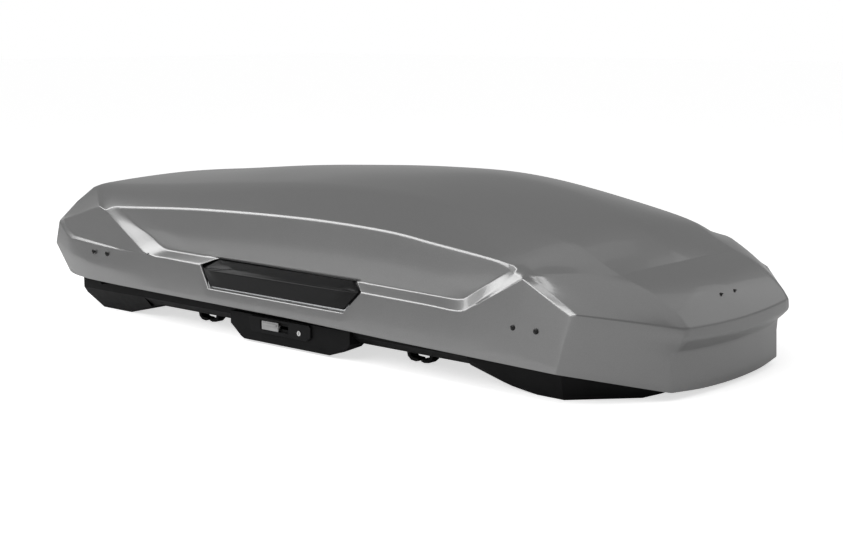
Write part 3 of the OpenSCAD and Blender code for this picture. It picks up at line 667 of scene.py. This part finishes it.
def dress(name, made):
    """Gives a CAD node its material and softens its edges."""
    look, edge = next((v for k, v in LOOKS.items() if name.startswith(k)), (STEEL, 0.4))
    made.data.materials.clear()
    made.data.materials.append(look)
    if edge:
        modifier(made, "WELD", "joined", merge_threshold=0.02 * MM)
        modifier(made, "BEVEL", "edges", limit_method="ANGLE", angle_limit=math.radians(32), width=edge * MM,
                 segments=2, use_clamp_overlap=True, miter_outer="MITER_ARC")
    modifier(made, "WEIGHTED_NORMAL", "shading", keep_sharp=False, weight=50)
    for polygon in made.data.polygons:
        polygon.use_smooth = True


for node_name, node_object in nodes.items():
    dress(node_name, node_object)


STRAP_WIDTH = 24 * MM
STRAP_STEP = 8 * MM
HEM = 40 * MM
BODY_HEIGHT = 0.86  # of the hem's height
UNDERSIDE = 0.04  # of the strap's thickness, clear of the floor
WEAVE_PROFILE = [  # share of the half width, share of the thickness
    (-1, 0.35), (-0.97, 0.8), (-0.9, 1), (-0.8, 0.92), (-0.72, 0.72), (-0.3, 0.7), (0, 0.7), (0.3, 0.7),
    (0.72, 0.72), (0.8, 0.92), (0.9, 1), (0.97, 0.8), (1, 0.35),
]


def strap_mesh(low, high, mesh):
    """One flat webbing strap inside its CAD solid: thick selvedges, a thin middle and a thicker hem."""
    middle = (low.x + high.x) / 2
    half = (high.x - low.x) / 2
    thick = high.z - low.z
    count = int((high.y - low.y) / STRAP_STEP)
    rows = []
    for i in range(count + 1):
        y = low.y + (high.y - low.y) * i / count
        end = min(y - low.y, high.y - y)
        rise = 1 if end < HEM else BODY_HEIGHT
        top = [mesh.verts.new((middle + half * u, y, low.z + thick * h * rise)) for u, h in WEAVE_PROFILE]
        base = [mesh.verts.new((middle + half * u, y, low.z + thick * UNDERSIDE)) for u, _ in WEAVE_PROFILE]
        rows.append(top + base[::-1])
    for one, two in zip(rows, rows[1:]):
        for k in range(len(one)):
            n = (k + 1) % len(one)
            mesh.faces.new((one[k], two[k], two[n], one[n]))
    mesh.faces.new(rows[0][::-1])
    mesh.faces.new(rows[-1])


def straps():
    """Both load straps, in the space of the CAD node that they stand for."""
    low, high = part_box("load_straps")
    made = bmesh.new()
    for start in (low.x, high.x - STRAP_WIDTH):
        strap_mesh(Vector((start, low.y, low.z)), Vector((start + STRAP_WIDTH, high.y, high.z)), made)
    bmesh.ops.recalc_face_normals(made, faces=made.faces)
    data = bpy.data.meshes.new("straps")
    made.to_mesh(data)
    made.free()
    data.polygons.foreach_set("use_smooth", [True] * len(data.polygons))
    return data


strap_piece = piece("straps", straps(), "base", WEBBING, ("load_straps",))
modifier(strap_piece, "WEIGHTED_NORMAL", "shading", keep_sharp=False, weight=50)


# ---- Studio ----
def light(name, place, size, radiance, target):
    """A soft rectangular light, size in metres, with the same brightness all over its face."""
    data = bpy.data.lights.new(name, "AREA")
    data.shape = "RECTANGLE"
    data.size, data.size_y = size
    data.energy = radiance * math.pi * size[0] * size[1]
    made = bpy.data.objects.new(name, data)
    made.location = place
    made.rotation_mode = "QUATERNION"
    made.rotation_quaternion = (Vector(target) - Vector(place)).to_track_quat("-Z", "Y")
    bpy.context.scene.collection.objects.link(made)


WORLD_STOPS = ((0.0, 0.4), (0.17, 0.36), (0.3, 0.3), (1.0, 0.42))


def world():
    """The camera sees a white room. The box is lit by one that is greyer overhead."""
    made = bpy.data.worlds.new("studio")
    bpy.context.scene.world = made
    made.use_nodes = True
    tree = made.node_tree
    place = tree.nodes.new("ShaderNodeTexCoord")
    split = tree.nodes.new("ShaderNodeSeparateXYZ")
    tree.links.new(place.outputs["Generated"], split.inputs["Vector"])
    shade = tree.nodes.new("ShaderNodeValToRGB")
    stops = shade.color_ramp
    while len(stops.elements) < len(WORLD_STOPS):
        stops.elements.new(0.5)
    for stop, (position, grey) in zip(stops.elements, WORLD_STOPS):
        stop.position = position
        stop.color = (grey, grey, grey, 1)
    tree.links.new(split.outputs["Z"], shade.inputs["Fac"])
    room = tree.nodes["Background"]
    tree.links.new(shade.outputs["Color"], room.inputs["Color"])
    white = tree.nodes.new("ShaderNodeBackground")
    white.inputs["Color"].default_value = (1, 1, 1, 1)
    seen = tree.nodes.new("ShaderNodeLightPath")
    mix = tree.nodes.new("ShaderNodeMixShader")
    tree.links.new(seen.outputs["Is Camera Ray"], mix.inputs["Fac"])
    tree.links.new(room.outputs["Background"], mix.inputs[1])
    tree.links.new(white.outputs["Background"], mix.inputs[2])
    tree.links.new(mix.outputs["Shader"], tree.nodes["World Output"].inputs["Surface"])


def floor():
    mesh = bpy.data.meshes.new("floor")
    reach = 30
    corners = [(-reach, -reach, 0), (reach, -reach, 0), (reach, reach, 0), (-reach, reach, 0)]
    mesh.from_pydata(corners, [], [(0, 1, 2, 3)])
    made = bpy.data.objects.new("floor", mesh)
    made.location.z = -0.0005
    bpy.context.scene.collection.objects.link(made)
    look, tree, shader, place = material("floor", (0.9, 0.9, 0.9), 0.7, Emission_Color=(1, 1, 1, 1))
    seen = tree.nodes.new("ShaderNodeLightPath")
    glow = spread(tree, seen.outputs["Is Camera Ray"], 0, 0.66)
    tree.links.new(glow, shader.inputs["Emission Strength"])
    tree.links.new(ramp(tree, noise(tree, place, 3, 3), (0.89, 0.89, 0.89), (0.91, 0.91, 0.91)),
                   shader.inputs["Base Color"])
    mesh.materials.append(look)


CAMERA_AZIMUTH = 40.92
CAMERA_ELEVATION = 9.284
CAMERA_PLACE = (2.7466, -3.0940, 0.8438)
LENS = 63.22


def camera():
    data = bpy.data.cameras.new("camera")
    data.sensor_width = 36
    data.lens = LENS
    made = bpy.data.objects.new("camera", data)
    a, e = math.radians(CAMERA_AZIMUTH), math.radians(CAMERA_ELEVATION)
    back = Vector((math.sin(a) * math.cos(e), -math.cos(a) * math.cos(e), math.sin(e)))
    made.location = CAMERA_PLACE
    made.rotation_mode = "QUATERNION"
    made.rotation_quaternion = (-back).to_track_quat("-Z", "Y")
    bpy.context.scene.collection.objects.link(made)
    bpy.context.scene.camera = made


world()
floor()
camera()
light("side_strip", (-1.4, -2.4, 2.0), (5.5, 1.3), 3.0, (-0.2, 0, 0.3))
light("nose_strip", (0.9, -1.7, 2.9), (2.2, 0.8), 2.0, (0.6, 0, 0.3))
light("nose_top", (1.55, 0.9, 3.5), (4.5, 4.0), 0.22, (0.8, 0, 0.3))
light("far_side", (2.2, 3.2, 1.8), (3.0, 1.8), 0.35, (0.8, 0, 0.3))
light("low_side", (0.4, -3.8, 0.7), (3, 1.0), 0.55, (0.6, 0, 0.2))
bpy.context.scene.view_settings.view_transform = "Standard"
